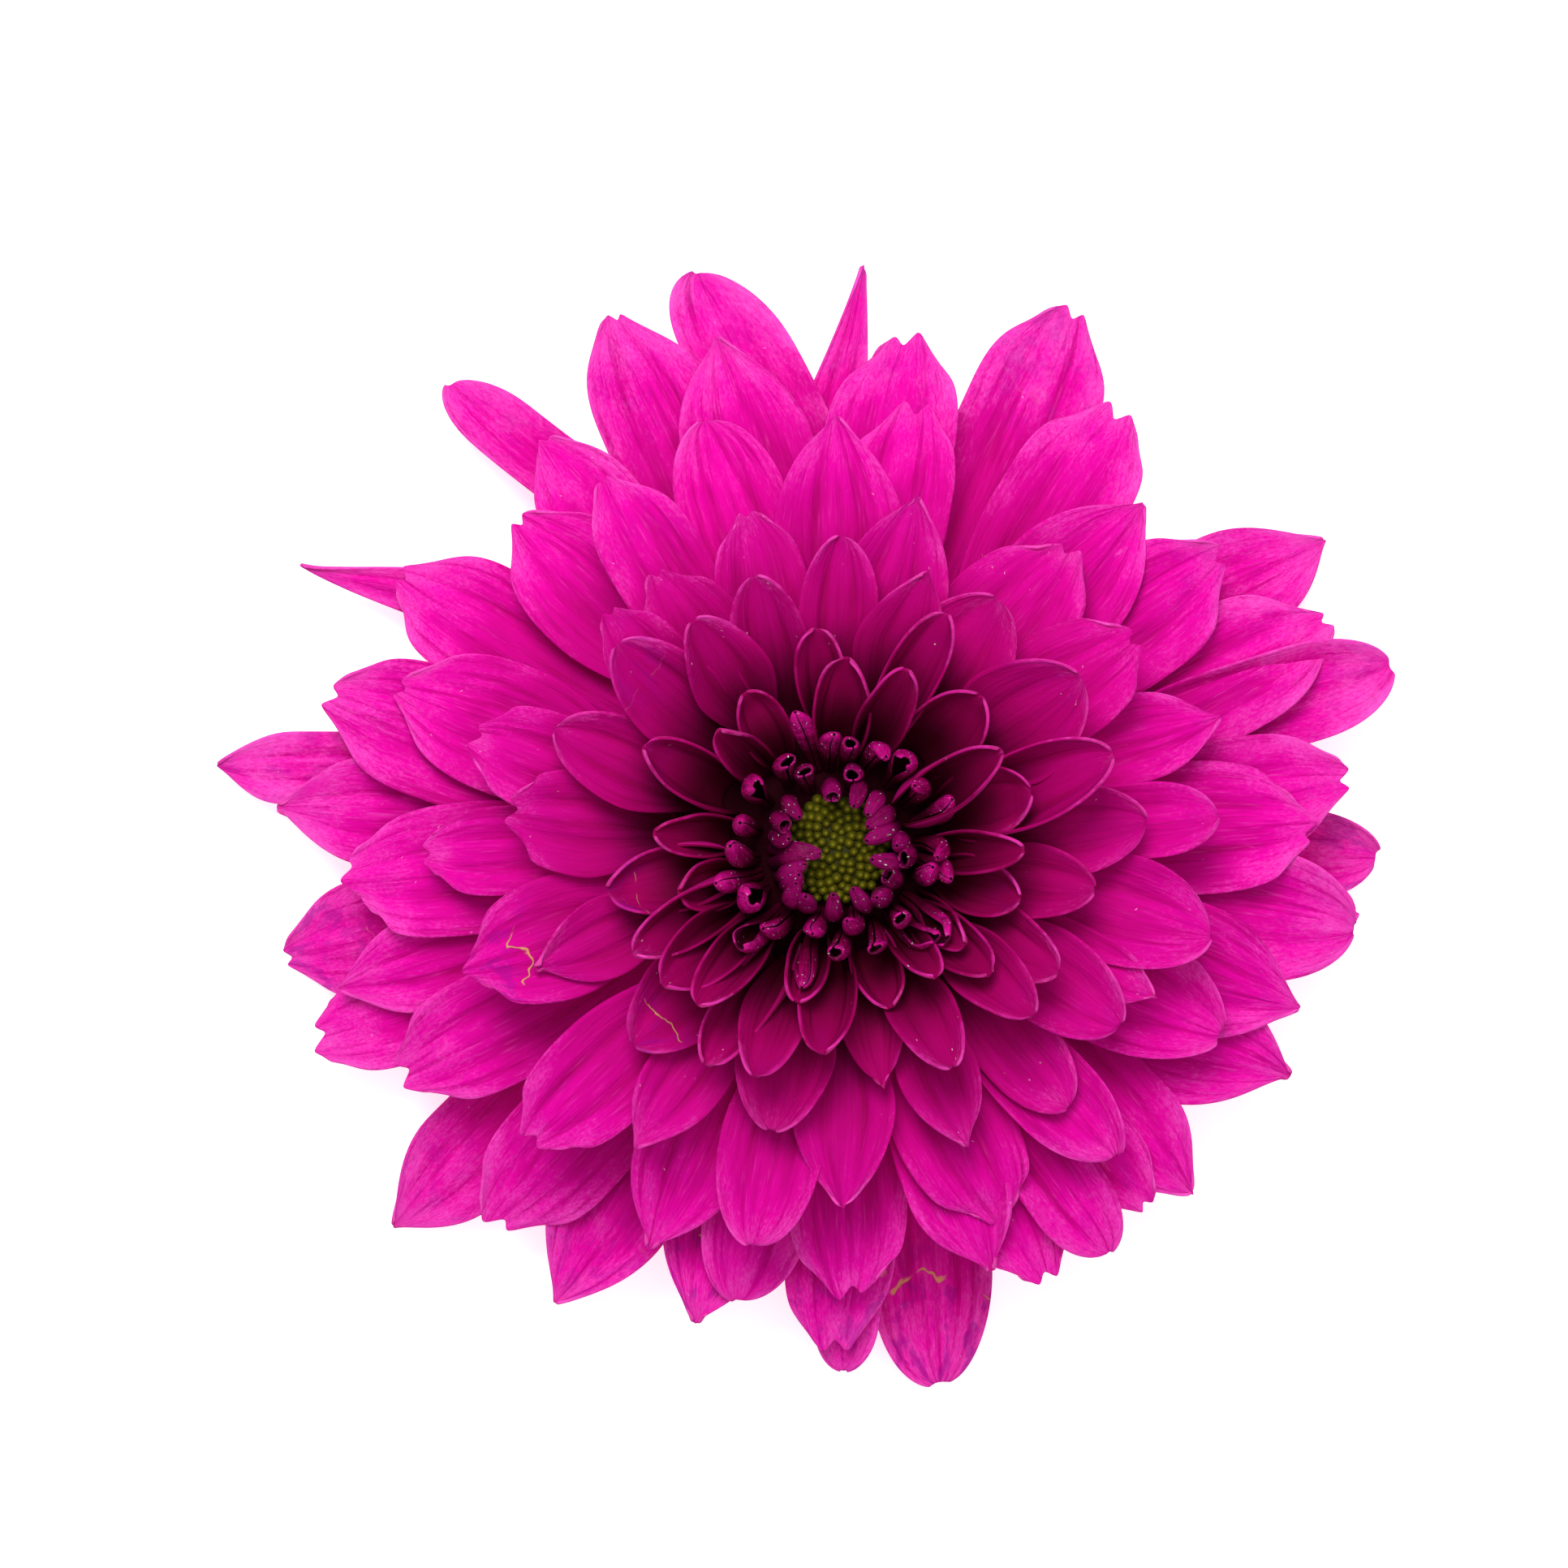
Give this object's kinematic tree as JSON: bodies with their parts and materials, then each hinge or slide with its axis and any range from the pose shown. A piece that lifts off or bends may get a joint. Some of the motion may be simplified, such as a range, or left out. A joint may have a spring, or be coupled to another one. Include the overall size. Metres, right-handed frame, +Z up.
{
  "type": "cut chrysanthemum flower head",
  "caption": "Cut decorative chrysanthemum head, a shallow dome of overlapping magenta ray florets round a green eye, on a short stalk stub; lies face up as a loose cut flower.",
  "frame": {"origin": "bottom centre of the head's box, on the surface it lies on", "axes": "+Z up out of the flower's face, +Y towards the top of the head as it is seen from above, +X to its right"},
  "size_m": [0.0812, 0.0778, 0.0306],
  "materials": {
    "ray_magenta": "satin, finely veined petal skin",
    "quill_magenta": "satin petal skin, darker and waxy",
    "eye_green": "matte, tightly packed buds",
    "bract_green": "matte, faintly hairy leaf skin",
    "stalk_green": "matte, finely ribbed green stalk"
  },
  "bodies": {
    "root": {"stalk": "stalk_green", "bracts_outer": "bract_green", "bracts_inner": "bract_green", "receptacle": "stalk_green", "ray_floret_01": "ray_magenta", "ray_floret_02": "ray_magenta", "ray_floret_03": "ray_magenta", "ray_floret_04": "ray_magenta", "ray_floret_05": "ray_magenta", "ray_floret_06": "ray_magenta", "ray_floret_07": "ray_magenta", "ray_floret_08": "ray_magenta", "ray_floret_09": "ray_magenta", "ray_floret_10": "ray_magenta", "ray_floret_11": "ray_magenta", "ray_floret_12": "ray_magenta", "ray_floret_13": "ray_magenta", "ray_floret_14": "ray_magenta", "ray_floret_15": "ray_magenta", "ray_floret_16": "ray_magenta", "ray_floret_17": "ray_magenta", "ray_floret_18": "ray_magenta", "ray_floret_19": "ray_magenta", "ray_floret_20": "ray_magenta", "ray_floret_21": "ray_magenta", "ray_floret_22": "ray_magenta", "ray_floret_23": "ray_magenta", "ray_floret_24": "ray_magenta", "ray_floret_25": "ray_magenta", "ray_floret_26": "ray_magenta", "ray_floret_27": "ray_magenta", "ray_floret_28": "ray_magenta", "ray_floret_29": "ray_magenta", "ray_floret_30": "ray_magenta", "ray_floret_31": "ray_magenta", "ray_floret_32": "ray_magenta", "ray_floret_33": "ray_magenta", "ray_floret_34": "ray_magenta", "ray_floret_35": "ray_magenta", "ray_floret_36": "ray_magenta", "ray_floret_37": "ray_magenta", "ray_floret_38": "ray_magenta", "ray_floret_39": "ray_magenta", "ray_floret_40": "ray_magenta", "ray_floret_41": "ray_magenta", "ray_floret_42": "ray_magenta", "ray_floret_43": "ray_magenta", "ray_floret_44": "ray_magenta", "ray_floret_45": "ray_magenta", "ray_floret_46": "ray_magenta", "ray_floret_47": "ray_magenta", "ray_floret_48": "ray_magenta", "ray_whorl_1": "ray_magenta", "ray_whorl_2": "ray_magenta", "ray_whorl_3": "ray_magenta", "ray_whorl_4": "ray_magenta", "ray_whorl_5": "ray_magenta", "quilled_florets_outer": "quill_magenta", "quilled_florets_inner": "quill_magenta", "disc_eye": "eye_green"}
  },
  "joints": []
}
